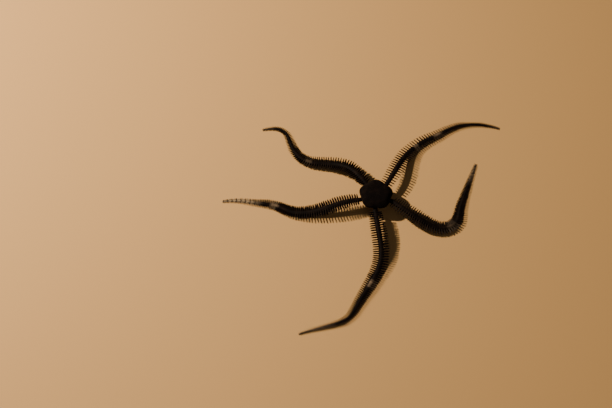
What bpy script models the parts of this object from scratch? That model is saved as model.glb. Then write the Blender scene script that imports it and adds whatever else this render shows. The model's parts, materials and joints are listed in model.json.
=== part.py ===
"""A black brittle star at life size, resting on its five long arms with its disc raised.

Metres, +Z up. The floor is z = 0 and the origin is the middle of the floor that the animal covers.
The back of the animal is towards +Y. Each arm is a jointed rod with a flat underside. It leaves the
disc at one of five even angles, sinks to the floor and lies along it to its thin tip. Two rows of
spines stand out on each side of it, and one row on each side of its tip.
"""

import math
import random

import bmesh
import bpy
from mathutils import Vector

# The whole animal
DISC_MIDDLE = (0.0074, 0.0164)  # the disc's axis, from the origin
FIRST_ARM_ANGLE = 51.0  # degrees from +X; the arms are 72 degrees apart
RAY_COUNT = 5
RAY_STEP = 360.0 / RAY_COUNT
GAP = 0.0003  # kept between neighbouring pieces

# Disc
DISC_LOBE_RADIUS = 0.0104  # between two arms
DISC_NOTCH_RADIUS = 0.0093  # over an arm
DISC_EDGE_HEIGHT = 0.0084  # of the rim above the floor
DISC_DOME = 0.0034  # from the rim up to the crown
DISC_BELLY = 0.0022  # from the rim down to the underside
CROWN_DIP = 0.0003  # hollow in the middle of the crown
SHIELD_RISE = 0.0004  # each arm has a pair of low mounds over its radial shields
SHIELD_RADIUS = 0.0072
SHIELD_TURN = 15.0  # degrees from the arm's line to each mound
SHIELD_SPREAD = 0.0016
DISC_STEPS_ROUND = 35

# Mouth, in the middle of the underside
MOUTH_RADIUS = 0.0043
MOUTH_DEPTH = 0.0014
GULLET_RADIUS = 0.0013
GULLET_DEPTH = 0.0011
JAW_TIP_RADIUS = 0.0007
JAW_HALF_WIDTH_TIP = 0.00040
JAW_HALF_WIDTH_ROOT = 0.00190
JAW_HEIGHT = 0.0016
PAPILLAE_A_SIDE = 2
PAPILLA_RADIUS = 0.00034

# Arms
ARM_START = 0.0108  # from the disc's axis to the first cut
STUB_START = 0.0047  # where the arm begins on the disc's underside
ARM_ROOT_HEIGHT = 0.0056  # of the underside at the disc
ARM_LEVEL_SHARE = 0.03  # the arm keeps this height over the first share of its length
ARM_WIDTH = 0.0034  # at its broadest
ARM_HEIGHT_SHARE = 0.74  # of its width
JOINT_WAIST = 0.84  # the narrow part between two rings of plates, as a share of the width
TIP_SWELL = 0.45  # the same at the very end of an arm
RING_PITCH = 0.0034  # from one narrow place to the next, where the arm is broadest
RING_CROWDING = 0.15  # how far the pitch follows the width down towards the tip
PLATE_PLACE = 0.55  # of the widest place in each pitch
PATH_STEP = 0.0005

# Each arm: length, share of it where the underside meets the floor, and its headings on plan,
# in degrees from +X, at shares of the length. The arms are named as they lie seen from above.
ARMS = {
    "back_right": (
        0.0930,
        0.43,
        ((0.00, 60), (0.20, 62), (0.36, 46), (0.50, 28), (0.62, 31), (0.76, 10), (0.88, -8), (1.00, -20)),
    ),
    "back_left": (
        0.0840,
        0.38,
        (
            (0.00, 127), (0.14, 131), (0.28, 162), (0.42, 175), (0.55, 146),
            (0.66, 115), (0.78, 112), (0.90, 174), (1.00, 196),
        ),
    ),
    "left": (
        0.0850,
        0.50,
        (
            (0.00, 185), (0.07, 192), (0.16, 196), (0.28, 191), (0.43, 174),
            (0.56, 152), (0.68, 172), (0.82, 171), (1.00, 190),
        ),
    ),
    "front": (
        0.1045,
        0.42,
        (
            (0.00, 276), (0.14, 279), (0.24, 272), (0.36, 248), (0.50, 239),
            (0.66, 239), (0.75, 204), (0.84, 195), (1.00, 200),
        ),
    ),
    "right": (
        0.0880,
        0.43,
        (
            (0.00, 318), (0.08, 325), (0.16, 329), (0.27, 334), (0.36, 350),
            (0.45, 388), (0.55, 436), (0.68, 431), (1.00, 430),
        ),
    ),
}
LENGTH_ENDS = (0.0, 0.24, 0.48, 0.74, 1.0)
LENGTH_NAMES = ("base", "inner", "outer", "tip")

# The arm's outline: half widths and heights as shares, from the belly up one side
SECTION = ((0.30, 0.0), (0.50, 0.30), (0.43, 0.72), (0.19, 1.0))
TIP_SECTION = ((0.34, 0.0), (0.50, 0.42), (0.26, 1.0))

# Spines
SPINE_LENGTH = 0.0036  # the longest, a fifth of the way along the arm
SPINE_THICKNESS = 0.00060
SPINE_ROOT_DEPTH = 0.0005
SPINE_WAIST_PLACE = 0.60  # along the spine, where the taper to the tip begins
SPINE_WAIST = 0.85
SPINE_SIDES = 3
UPPER_RISE = 15.0  # degrees, of the spines that grow from an arm's shoulders
LOWER_RISE = 5.0  # of those that grow from its sides
TIP_RISE = 10.0  # of the single row along each side of a tip
SPINE_LEAN = (-3.0, 6.0)  # degrees towards the tip of the arm
SPINE_FLOOR_GAP = 0.0001
SPINE_SEED = 5


def smooth(x):
    x = min(1.0, max(0.0, x))
    return x * x * (3.0 - 2.0 * x)


def curve_through(stops, x):
    """The value at x of a smooth curve through the stops that doesn't level off at each of them."""
    count = len(stops)
    slopes = []
    for i in range(count):
        (x0, y0), (x1, y1) = stops[max(0, i - 1)], stops[min(count - 1, i + 1)]
        slopes.append((y1 - y0) / (x1 - x0))
    x = min(stops[-1][0], max(stops[0][0], x))
    i = max(k for k in range(count - 1) if x >= stops[k][0])
    (x0, y0), (x1, y1) = stops[i], stops[i + 1]
    span = x1 - x0
    t = (x - x0) / span
    ease = t * t * (3.0 - 2.0 * t)
    start_pull = t * (1.0 - t) ** 2 * span * slopes[i]
    end_pull = t * t * (1.0 - t) * span * slopes[i + 1]
    return y0 + (y1 - y0) * ease + start_pull - end_pull


def polar(radius, degrees, height=0.0):
    turn = math.radians(degrees)
    return Vector(
        (
            DISC_MIDDLE[0] + radius * math.cos(turn),
            DISC_MIDDLE[1] + radius * math.sin(turn),
            height,
        )
    )


def material(name, colour, roughness):
    made = bpy.data.materials.new(name)
    made.use_nodes = True
    shader = made.node_tree.nodes["Principled BSDF"]
    shader.inputs["Base Color"].default_value = (*colour, 1.0)
    shader.inputs["Roughness"].default_value = roughness
    shader.inputs["Metallic"].default_value = 0.0
    return made


def link(name, mesh, finish=None, collection=None):
    bm = bmesh.new()
    bm.from_mesh(mesh)
    bmesh.ops.recalc_face_normals(bm, faces=bm.faces)
    bm.to_mesh(mesh)
    bm.free()
    if finish:
        mesh.materials.append(finish)
    obj = bpy.data.objects.new(name, mesh)
    (collection or bpy.context.scene.collection).objects.link(obj)
    return obj


def mesh_of(name, points, faces):
    mesh = bpy.data.meshes.new(name)
    mesh.from_pydata([tuple(p) for p in points], [], faces)
    return mesh


def tube(name, rings):
    """A closed skin over rings of equal counts, capped at both ends."""
    sides = len(rings[0])
    points = [p for ring in rings for p in ring]
    faces = [tuple(range(sides))]
    for k in range(len(rings) - 1):
        for i in range(sides):
            j = (i + 1) % sides
            faces.append((k * sides + i, k * sides + j, (k + 1) * sides + j, (k + 1) * sides + i))
    last = (len(rings) - 1) * sides
    faces.append(tuple(range(last, last + sides)))
    return mesh_of(name, points, faces)


def fuse(obj, pieces):
    """Joins the objects of a collection to obj for good, and keeps only its largest closed surface."""
    union = obj.modifiers.new("fuse", "BOOLEAN")
    union.operation = "UNION"
    union.operand_type = "COLLECTION"
    union.collection = pieces
    union.solver = "EXACT"
    bpy.context.view_layer.update()
    graph = bpy.context.evaluated_depsgraph_get()
    fused = bpy.data.meshes.new_from_object(obj.evaluated_get(graph))
    obj.modifiers.remove(union)
    obj.data = fused
    for piece in list(pieces.objects):
        bpy.data.objects.remove(piece)
    bpy.data.collections.remove(pieces)
    keep_largest(fused)


def keep_largest(mesh):
    bm = bmesh.new()
    bm.from_mesh(mesh)
    left = set(bm.faces)
    shells = []
    while left:
        shell = {left.pop()}
        edge_of_search = list(shell)
        while edge_of_search:
            face = edge_of_search.pop()
            for edge in face.edges:
                for other in edge.link_faces:
                    if other in left:
                        left.remove(other)
                        shell.add(other)
                        edge_of_search.append(other)
        shells.append(shell)
    shells.sort(key=len, reverse=True)
    for shell in shells[1:]:
        bmesh.ops.delete(bm, geom=list(shell), context="FACES")
    bmesh.ops.delete(bm, geom=[v for v in bm.verts if not v.link_faces], context="VERTS")
    bm.to_mesh(mesh)
    bm.free()


def round_off(obj, degrees=40.0):
    obj.data.shade_smooth()
    obj.data.set_sharp_from_angle(angle=math.radians(degrees))


# The arm's course


class ArmCourse:
    """Where an arm's underside runs: places, headings and sizes by distance from its first cut."""

    def __init__(self, ray, name):
        self.length, self.touch, self.headings = ARMS[name]
        self.angle = FIRST_ARM_ANGLE + RAY_STEP * ray
        self.places = [polar(ARM_START, self.angle, ARM_ROOT_HEIGHT)]
        steps = math.ceil(self.length / PATH_STEP)
        self.step = self.length / steps
        for k in range(steps):
            share = (k + 0.5) / steps
            turn = math.radians(curve_through(self.headings, share))
            fall = self.height((k + 1) / steps) - self.height(k / steps)
            run = math.sqrt(max(0.0, self.step**2 - fall**2))
            self.places.append(
                self.places[-1] + Vector((run * math.cos(turn), run * math.sin(turn), fall))
            )

    def height(self, share):
        sunk = smooth((share - ARM_LEVEL_SHARE) / (self.touch - ARM_LEVEL_SHARE))
        return ARM_ROOT_HEIGHT * (1.0 - sunk)

    def place(self, distance):
        x = min(len(self.places) - 1.0, max(0.0, distance / self.step))
        k = min(len(self.places) - 2, int(x))
        return self.places[k].lerp(self.places[k + 1], x - k)

    def axes(self, distance):
        """The arm's direction, its left side and its upright at this distance."""
        reach = 2.0 * PATH_STEP
        ahead = (self.place(distance + reach) - self.place(distance - reach)).normalized()
        left = Vector((0.0, 0.0, 1.0)).cross(ahead).normalized()
        return ahead, left, ahead.cross(left)

    def width(self, distance):
        share = distance / self.length
        stops = ((0.0, 0.90), (0.16, 1.0), (0.36, 0.93), (0.56, 0.72), (0.78, 0.42), (1.0, 0.22))
        return ARM_WIDTH * curve_through(stops, share)

    def spine_length(self, distance):
        share = distance / self.length
        stops = ((0.0, 0.62), (0.12, 0.96), (0.25, 1.0), (0.45, 0.84), (0.65, 0.55), (1.0, 0.20))
        return SPINE_LENGTH * curve_through(stops, share)

    def borders(self):
        """The narrow places between two rings of plates, closer together towards the tip."""
        found = [0.0]
        while found[-1] < self.length:
            crowding = RING_CROWDING * (1.0 - self.width(found[-1]) / ARM_WIDTH)
            pitch = RING_PITCH * (1.0 - crowding)
            found.append(found[-1] + pitch)
        stretch = self.length / found[-1]
        return [d * stretch for d in found[:-1]] + [self.length]

    def ring(self, distance, swell, section=SECTION):
        """The arm's outline at this distance. The belly stays at the course's own height."""
        _, left, upright = self.axes(distance)
        middle = self.place(distance)
        width = self.width(distance) * swell
        height = self.width(distance) * ARM_HEIGHT_SHARE * (0.5 + 0.5 * swell)
        one_side = [middle + left * (width * u) + upright * (height * v) for u, v in section]
        other = [middle - left * (width * u) + upright * (height * v) for u, v in reversed(section)]
        return one_side + other


def spine(root, toward, along, length, stages, collection):
    """A three sided spike through its stages, each a place along it and a share of the thickness."""
    across = toward.cross(along).normalized()
    beside = toward.cross(across)
    radius = SPINE_THICKNESS / math.sqrt(SPINE_SIDES)
    points = []
    for place, share in stages:
        middle = root + toward * place
        for k in range(SPINE_SIDES):
            turn = 2.0 * math.pi * (k + 0.25) / SPINE_SIDES
            corner = middle + (across * math.cos(turn) + beside * math.sin(turn)) * radius * share
            corner.z = max(corner.z, SPINE_FLOOR_GAP)
            points.append(corner)
    points.append(root + toward * length)
    faces = [tuple(range(SPINE_SIDES))]
    last = (len(stages) - 1) * SPINE_SIDES
    for k in range(SPINE_SIDES):
        j = (k + 1) % SPINE_SIDES
        for low in range(0, last, SPINE_SIDES):
            high = low + SPINE_SIDES
            faces.append((low + k, low + j, high + j, high + k))
        faces.append((last + k, last + j, len(points) - 1))
    link("spine", mesh_of("spine", points, faces), collection=collection)


def side_spines(course, rings, distances, is_tip, draw, collection):
    """Sets a spine on a side face of each stretch between two rings, on the left and on the right.

    The stretches take the upper and the lower row in turn. A tip has one row, of plain cones.
    """
    count = len(rings[0])
    for k in range(len(rings) - 1):
        first, rise = (1, TIP_RISE) if is_tip else (2, UPPER_RISE) if k % 2 == 0 else (1, LOWER_RISE)
        distance = (distances[k] + distances[k + 1]) / 2.0
        ahead, left, upright = course.axes(distance)
        for side in (1.0, -1.0):
            low, high = (first, first + 1) if side > 0.0 else (count - 1 - first, count - 2 - first)
            corners = (rings[k][low], rings[k][high], rings[k + 1][low], rings[k + 1][high])
            root = sum(corners, Vector()) / len(corners)
            lean = math.radians(draw.uniform(*SPINE_LEAN))
            lift = math.radians(rise + draw.uniform(-3.0, 3.0))
            length = course.spine_length(distance) * draw.uniform(0.90, 1.08)
            flat = left * (side * math.cos(lean)) + ahead * math.sin(lean)
            toward = (flat * math.cos(lift) + upright * math.sin(lift)).normalized()
            tip = root + toward * length
            tip.z = max(tip.z, SPINE_THICKNESS / 2.0 + SPINE_FLOOR_GAP)
            stages = [(-SPINE_ROOT_DEPTH, 1.0)]
            if not is_tip:
                stages.append((length * SPINE_WAIST_PLACE, SPINE_WAIST))
            spine(root, (tip - root).normalized(), ahead, length, stages, collection)


def arm_length(course, name, borders, finish, draw):
    """One length of an arm, over the pitches between the given borders, with its spines."""
    is_tip = borders[-1] >= course.length
    section = TIP_SECTION if is_tip else SECTION
    distances = []
    for start, end in zip(borders, borders[1:]):
        distances += [start, start + PLATE_PLACE * (end - start)]
    distances[0] += GAP / 2.0
    distances.append(borders[-1] - (0.0 if is_tip else GAP / 2.0))
    swells = [1.0 if k % 2 else JOINT_WAIST for k in range(len(distances))]
    if is_tip:
        swells[-1] = TIP_SWELL
    rings = [course.ring(distance, swell, section) for distance, swell in zip(distances, swells)]
    obj = link(name, tube(name, rings), finish)
    pieces = bpy.data.collections.new("spines")
    bpy.context.scene.collection.children.link(pieces)
    side_spines(course, rings, distances, is_tip, draw, pieces)
    fuse(obj, pieces)
    round_off(obj)


def arm(ray, name, finishes):
    course = ArmCourse(ray, name)
    draw = random.Random(SPINE_SEED * 100 + ray)
    borders = course.borders()
    ends = []
    for share in LENGTH_ENDS:
        nearest = min(range(len(borders)), key=lambda k: abs(borders[k] - share * course.length))
        ends.append(nearest)
    for k, part in enumerate(LENGTH_NAMES):
        within = borders[ends[k] : ends[k + 1] + 1]
        arm_length(course, f"arm_{name}_{part}", within, finishes[k], draw)


# The disc


def disc_radius(degrees):
    """The rim's radius: it swells between the arms and is drawn in over each arm."""
    middle = (DISC_LOBE_RADIUS + DISC_NOTCH_RADIUS) / 2.0
    swing = (DISC_LOBE_RADIUS - DISC_NOTCH_RADIUS) / 2.0
    return middle - swing * math.cos(math.radians(RAY_COUNT * (degrees - FIRST_ARM_ANGLE)))


def disc_top(radius, degrees):
    """The height of the upper side over a place given from the disc's axis."""
    share = min(1.0, radius / disc_radius(degrees))
    height = DISC_EDGE_HEIGHT + DISC_DOME * (1.0 - share**2.6) ** 0.62
    height -= CROWN_DIP * (1.0 - smooth(share / 0.4))
    from_arm = (degrees - FIRST_ARM_ANGLE + RAY_STEP / 2.0) % RAY_STEP - RAY_STEP / 2.0
    for side in (1.0, -1.0):
        across = radius * math.radians(from_arm - side * SHIELD_TURN)
        away = math.hypot(across, radius - SHIELD_RADIUS)
        height += SHIELD_RISE * math.exp(-((away / SHIELD_SPREAD) ** 2))
    return height


def disc(finish):
    belly = DISC_EDGE_HEIGHT - DISC_BELLY
    ceiling = belly + MOUTH_DEPTH
    upper = (0.22, 0.42, 0.60, 0.74, 0.85, 0.93, 0.98)
    lower = ((1.0, 0.0), (0.985, 0.30), (0.93, 0.62), (0.82, 0.88), (0.64, 1.0))
    inner = (
        (MOUTH_RADIUS, belly),
        (MOUTH_RADIUS, ceiling),
        (GULLET_RADIUS, ceiling),
        (GULLET_RADIUS * 0.8, ceiling + GULLET_DEPTH),
    )
    points = [polar(0.0, 0.0, disc_top(0.0, FIRST_ARM_ANGLE))]
    rounds = 0
    turns = [FIRST_ARM_ANGLE + 360.0 * k / DISC_STEPS_ROUND for k in range(DISC_STEPS_ROUND)]
    for share in upper:
        points += [polar(share * disc_radius(a), a, disc_top(share * disc_radius(a), a)) for a in turns]
        rounds += 1
    for share, sunk in lower:
        points += [polar(share * disc_radius(a), a, DISC_EDGE_HEIGHT - sunk * DISC_BELLY) for a in turns]
        rounds += 1
    for radius, height in inner:
        points += [polar(radius, a, height) for a in turns]
        rounds += 1
    points.append(polar(0.0, 0.0, ceiling + GULLET_DEPTH))
    n = DISC_STEPS_ROUND
    faces = []
    for i in range(n):
        j = (i + 1) % n
        faces.append((0, 1 + i, 1 + j))
        for k in range(rounds - 1):
            a = 1 + k * n
            faces.append((a + i, a + n + i, a + n + j, a + j))
        last = 1 + (rounds - 1) * n
        faces.append((last + i, len(points) - 1, last + j))
    obj = link("disc", mesh_of("disc", points, faces), finish)
    stubs = bpy.data.collections.new("stubs")
    bpy.context.scene.collection.children.link(stubs)
    for ray, name in enumerate(ARMS):
        arm_stub(ArmCourse(ray, name), stubs)
    fuse(obj, stubs)
    round_off(obj)


def arm_stub(course, collection):
    """The arm's root, which runs under the disc to the mouth and shows past the rim."""
    rings = []
    count = 4
    heading = Vector((math.cos(math.radians(course.angle)), math.sin(math.radians(course.angle)), 0.0))
    for k in range(count + 1):
        back = (ARM_START - STUB_START) * (1.0 - k / count)
        swell = 1.0 if k % 2 else JOINT_WAIST
        narrow = 1.0 - 0.35 * (back / (ARM_START - STUB_START))
        ring = course.ring(0.0, swell * narrow)
        ahead, _, _ = course.axes(0.0)
        if k == count:
            rings.append([p - ahead * (GAP / 2.0) for p in ring])
        else:
            rings.append([p - heading * back for p in ring])
    link("stub", tube("stub", rings), collection=collection)


def jaw(ray, finish):
    """A wedge between two arms, with rounded teeth along both sides and at its point."""
    angle = FIRST_ARM_ANGLE + RAY_STEP * (ray + 0.5)
    out = Vector((math.cos(math.radians(angle)), math.sin(math.radians(angle)), 0.0))
    left = Vector((-out.y, out.x, 0.0))
    belly = DISC_EDGE_HEIGHT - DISC_BELLY
    top = belly + MOUTH_DEPTH - GAP
    middle = Vector((DISC_MIDDLE[0], DISC_MIDDLE[1], 0.0))
    root = MOUTH_RADIUS - GAP
    stations = (
        (JAW_TIP_RADIUS, JAW_HALF_WIDTH_TIP, 0.55),
        (JAW_TIP_RADIUS + 0.0011, JAW_HALF_WIDTH_TIP + 0.00035, 0.95),
        (root * 0.72, JAW_HALF_WIDTH_ROOT * 0.70, 1.0),
        (root - 0.0005, JAW_HALF_WIDTH_ROOT * 0.86, 0.80),
    )
    rings = []
    for radius, half, drop in stations:
        low = top - JAW_HEIGHT * drop
        ring = []
        for u, v in ((1.0, 0.0), (1.0, 0.55), (0.55, 1.0), (-0.55, 1.0), (-1.0, 0.55), (-1.0, 0.0)):
            ring.append(middle + out * radius + left * (half * u) + Vector((0.0, 0.0, top + (low - top) * v)))
        rings.append(ring)
    obj = link(f"jaw_{ray + 1}", tube("jaw", rings), finish)
    teeth = bpy.data.collections.new("teeth")
    bpy.context.scene.collection.children.link(teeth)
    spots = [(JAW_TIP_RADIUS + 0.0001, 0.0)]
    for k in range(PAPILLAE_A_SIDE):
        share = (k + 0.5) / PAPILLAE_A_SIDE
        radius = JAW_TIP_RADIUS + 0.0004 + share * 0.0020
        half = JAW_HALF_WIDTH_TIP + share * 0.0006
        spots += [(radius, half), (radius, -half)]
    for radius, offset in spots:
        at = middle + out * radius + left * offset + Vector((0.0, 0.0, top - JAW_HEIGHT * 0.75))
        bm = bmesh.new()
        bmesh.ops.create_icosphere(bm, subdivisions=1, radius=PAPILLA_RADIUS)
        bmesh.ops.translate(bm, vec=at, verts=bm.verts)
        mesh = bpy.data.meshes.new("tooth")
        bm.to_mesh(mesh)
        bm.free()
        link("tooth", mesh, collection=teeth)
    fuse(obj, teeth)
    round_off(obj)


def main():
    for obj in list(bpy.data.objects):
        bpy.data.objects.remove(obj)
    disc_finish = material("disc_black_brown", (0.016, 0.010, 0.008), 0.62)
    arm_finish = material("arm_black_brown", (0.020, 0.012, 0.010), 0.55)
    tip_finish = material("arm_tip_brown", (0.090, 0.060, 0.040), 0.60)
    jaw_finish = material("jaw_brown", (0.120, 0.085, 0.060), 0.50)
    disc(disc_finish)
    for ray in range(RAY_COUNT):
        jaw(ray, jaw_finish)
    for ray, name in enumerate(ARMS):
        arm(ray, name, (arm_finish, arm_finish, arm_finish, tip_finish))


main()
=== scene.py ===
"""The looks of a life-size black brittle star that rests on its five long, spiny arms.

One skin covers the disc and the arms. Over it lie the plates of each arm joint, the combs of spines
that stand out from them, the granules of the disc and the jaws of the mouth. Metres, +Z up.
"""

import json
import math

import bpy
import numpy as np
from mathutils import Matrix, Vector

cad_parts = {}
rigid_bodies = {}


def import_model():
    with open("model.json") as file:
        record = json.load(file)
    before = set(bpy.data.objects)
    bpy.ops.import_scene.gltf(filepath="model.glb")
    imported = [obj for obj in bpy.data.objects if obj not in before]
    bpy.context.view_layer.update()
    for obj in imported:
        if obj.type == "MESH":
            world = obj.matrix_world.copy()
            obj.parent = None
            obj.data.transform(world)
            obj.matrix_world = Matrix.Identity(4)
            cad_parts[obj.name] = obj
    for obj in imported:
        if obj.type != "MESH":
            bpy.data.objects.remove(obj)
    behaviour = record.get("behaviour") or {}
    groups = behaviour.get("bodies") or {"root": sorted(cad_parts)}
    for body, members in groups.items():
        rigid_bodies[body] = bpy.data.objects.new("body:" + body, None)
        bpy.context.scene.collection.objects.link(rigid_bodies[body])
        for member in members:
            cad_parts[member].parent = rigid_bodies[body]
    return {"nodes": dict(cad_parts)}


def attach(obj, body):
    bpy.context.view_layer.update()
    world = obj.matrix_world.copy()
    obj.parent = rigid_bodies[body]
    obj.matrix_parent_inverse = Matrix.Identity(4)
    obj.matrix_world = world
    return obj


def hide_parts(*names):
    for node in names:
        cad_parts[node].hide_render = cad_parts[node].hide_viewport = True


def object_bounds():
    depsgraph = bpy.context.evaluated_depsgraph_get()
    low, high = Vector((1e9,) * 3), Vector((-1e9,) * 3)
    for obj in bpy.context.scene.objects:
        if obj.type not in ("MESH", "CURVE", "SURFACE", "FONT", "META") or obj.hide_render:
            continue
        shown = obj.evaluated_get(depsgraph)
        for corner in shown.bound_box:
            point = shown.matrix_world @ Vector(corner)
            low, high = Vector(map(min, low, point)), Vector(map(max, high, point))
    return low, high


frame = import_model()
cad_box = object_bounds()

# The skin
# A brittle star's disc and arms are one body in one thin black-brown skin, over limy plates. Here it is
# one closed surface: a domed disc turned on its axis, with five jointed tubes fused to it.

DISC_MIDDLE = np.array((0.0074, 0.0164, 0.0))
RAY_COUNT = 5
RAY_STEP = 360.0 / RAY_COUNT
FIRST_ARM_ANGLE = 51.0  # degrees from +X
DISC_LOBE_RADIUS = 0.0104  # between two arms
DISC_NOTCH_RADIUS = 0.0093  # over an arm
DISC_EDGE_HEIGHT = 0.0084
DISC_DOME = 0.0034  # from the rim up to the crown
DISC_BELLY = 0.0022  # from the rim down to the underside
BELLY_SHARE = 0.64  # of the rim's radius, where the underside turns flat
CROWN_DIP = 0.0003
CROWN_SHARE = 0.4  # of the rim's radius, where the dip ends
SHIELD_RISE = 0.0004  # of the low mounds beside each arm's line
SHIELD_RADIUS = 0.0072
SHIELD_TURN = 15.0
SHIELD_SPREAD = 0.0016
GRANULE_DEPTH = 0.00018  # of the disc's skin below the tops of its granules
SLIT_DEPTH = 0.00045  # of the bursal slits, two beside each arm on the underside
SLIT_OFFSET = 0.00185
SLIT_SPREAD = 0.00020
SLIT_ENDS = (0.0050, 0.0092)  # from the disc's axis
SLIT_FADE = 0.0008
MOUTH_RADIUS = 0.0043
GULLET_RADIUS = 0.0013
GULLET_DEPTH = 0.0011
MOUTH_CEILING = DISC_EDGE_HEIGHT - DISC_BELLY + 0.0014
THROAT = (  # radius, and height over the mouth's ceiling
    (MOUTH_RADIUS + 0.00010, -0.0009),
    (MOUTH_RADIUS + 0.00008, -0.0001),
    (MOUTH_RADIUS - 0.0004, 0.00005),
    (GULLET_RADIUS + 0.0004, 0.00005),
    (GULLET_RADIUS, 0.0003),
    (GULLET_RADIUS * 0.8, GULLET_DEPTH),
)
DISC_TURNS = 240
DISC_TOP_ROWS = 52
DISC_LOWER_ROWS = 46

ARM_START = 0.0108  # from the disc's axis to the first cut, where an arm's distances are counted from
ROOT_START = -0.0061  # where the arm begins under the disc
ARM_ROOT_HEIGHT = 0.0056
ARM_LEVEL_SHARE = 0.03
ARM_WIDTH = 0.0034
PATH_STEP = 0.0005
TIP_ROUNDING = 0.0010
TIP_RINGS = (0.25, 0.10, 0.03, 0.0)  # shares of the rounding before the very tip
ROOT_NARROWING = 0.35
JOINT_CROWDING = 0.55  # how far the pitch follows the width down towards the tip
JOINT_PROFILE = ((0.0, -0.034), (0.25, -0.008), (0.55, 0.0), (0.85, -0.010))  # place and lift of the skin
TIP_LIFT = -0.01
SKIN_HALF_WIDTH = 0.470  # these shares of the arm's width leave room for the plates
SKIN_HALF_HEIGHT = 0.340
SKIN_MIDDLE = 0.370
BELLY_SQUARENESS = 0.8
TURNS_ROUND_ARM = 20
JOINT_PITCHES = {  # from one joint to the next where the arm is broadest
    "back_right": 0.00186, "back_left": 0.00148, "left": 0.00144, "front": 0.00150, "right": 0.00148,
}

# Length, share of it where the underside meets the floor, and headings on plan at shares of it
ARMS = {
    "back_right": (0.0930, 0.43, (
        (0.00, 60), (0.20, 62), (0.36, 46), (0.50, 28), (0.62, 31), (0.76, 10), (0.88, -8), (1.00, -20),
    )),
    "back_left": (0.0840, 0.38, (
        (0.00, 127), (0.14, 131), (0.28, 162), (0.42, 175), (0.55, 146),
        (0.66, 115), (0.78, 112), (0.90, 174), (1.00, 196),
    )),
    "left": (0.0850, 0.50, (
        (0.00, 185), (0.07, 192), (0.16, 196), (0.28, 191), (0.43, 174),
        (0.56, 152), (0.68, 172), (0.82, 171), (1.00, 190),
    )),
    "front": (0.1045, 0.42, (
        (0.00, 276), (0.14, 279), (0.24, 272), (0.36, 248), (0.50, 239),
        (0.66, 239), (0.75, 204), (0.84, 195), (1.00, 200),
    )),
    "right": (0.0880, 0.43, (
        (0.00, 318), (0.08, 325), (0.16, 329), (0.27, 334), (0.36, 350),
        (0.45, 388), (0.55, 436), (0.68, 431), (1.00, 430),
    )),
}
WIDTHS = ((0.0, 0.90), (0.16, 1.0), (0.36, 0.93), (0.56, 0.72), (0.78, 0.42), (1.0, 0.22))

# Colours along each arm: centre, half width and strength of the pale patches, and the tip's own colour
BLACK_BROWN = np.array((0.0036, 0.0018, 0.0010))
PATCH_BROWN = np.array((0.165, 0.105, 0.058))
TAN = np.array((0.270, 0.180, 0.095))
DARK_BAND = np.array((0.035, 0.022, 0.015))
UNDERSIDE = np.array((0.050, 0.034, 0.025))
RUST = (0.020, 0.009, 0.005)
PAINTED_GAP_SHADE = 0.8  # painted shade: the skin in the gaps between the plates and the granules is painted darker than they are
PATCHES = {
    "back_right": ((0.380, 0.016, 0.75), (0.560, 0.022, 0.70)),
    "back_left": ((0.500, 0.020, 0.40),),
    "left": ((0.620, 0.024, 0.80),),
    "front": ((0.458, 0.020, 0.75),),
    "right": ((0.455, 0.030, 0.30),),
}
TIPS = {  # share where the paler tip begins, its strength, and how tan it is
    "back_right": (0.90, 0.35, 0.3),
    "back_left": (0.88, 0.40, 0.4),
    "left": (0.69, 0.95, 1.0),
    "front": (0.76, 0.45, 0.3),
    "right": (0.80, 0.50, 0.5),
}
TIP_FADE = 0.13  # share of the length over which the tip turns paler
BAND_JOINTS = 3  # from one dark band of the tip to the next
BAND_FADE = 0.05
BAND_STRENGTH = 0.85
HIDE_SEED = 40

# The unwrap: a strip for each arm, cut along its underside, and two round charts for the disc above them
STRIP_MARGIN = 0.02
STRIP_SCALE = 8.6  # of the unwrap to a metre of arm
STRIP_STEP = 0.1
STRIP_HEIGHT = 0.09
CHART_MIDDLES = (0.25, 0.75, 0.77)  # across for the upper side and the underside, and up for both
CHART_RADIUS = 0.2


def smooth(x):
    x = np.clip(x, 0.0, 1.0)
    return x * x * (3.0 - 2.0 * x)


def unit(vectors):
    return vectors / np.linalg.norm(vectors, axis=-1, keepdims=True)


def curve_through(stops, x):
    """The values at x of a smooth curve through the stops that doesn't level off at each of them."""
    at, value = np.array(stops, float).T
    every = np.arange(len(at))
    before, after = np.maximum(every - 1, 0), np.minimum(every + 1, len(at) - 1)
    slope = (value[after] - value[before]) / (at[after] - at[before])
    x = np.clip(x, at[0], at[-1])
    i = np.clip(np.searchsorted(at, x, side="right") - 1, 0, len(at) - 2)
    span = at[i + 1] - at[i]
    t = (x - at[i]) / span
    pull = span * t * (1.0 - t) * ((1.0 - t) * slope[i] - t * slope[i + 1])
    return value[i] + (value[i + 1] - value[i]) * t * t * (3.0 - 2.0 * t) + pull


def direction(degrees):
    """The direction on plan at an angle from +X."""
    return np.array((math.cos(math.radians(degrees)), math.sin(math.radians(degrees)), 0.0))


def squared(x, power):
    """A sine or cosine whose power, below 1, fills out the corners of a round section."""
    return np.sign(x) * np.abs(x) ** power


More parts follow.
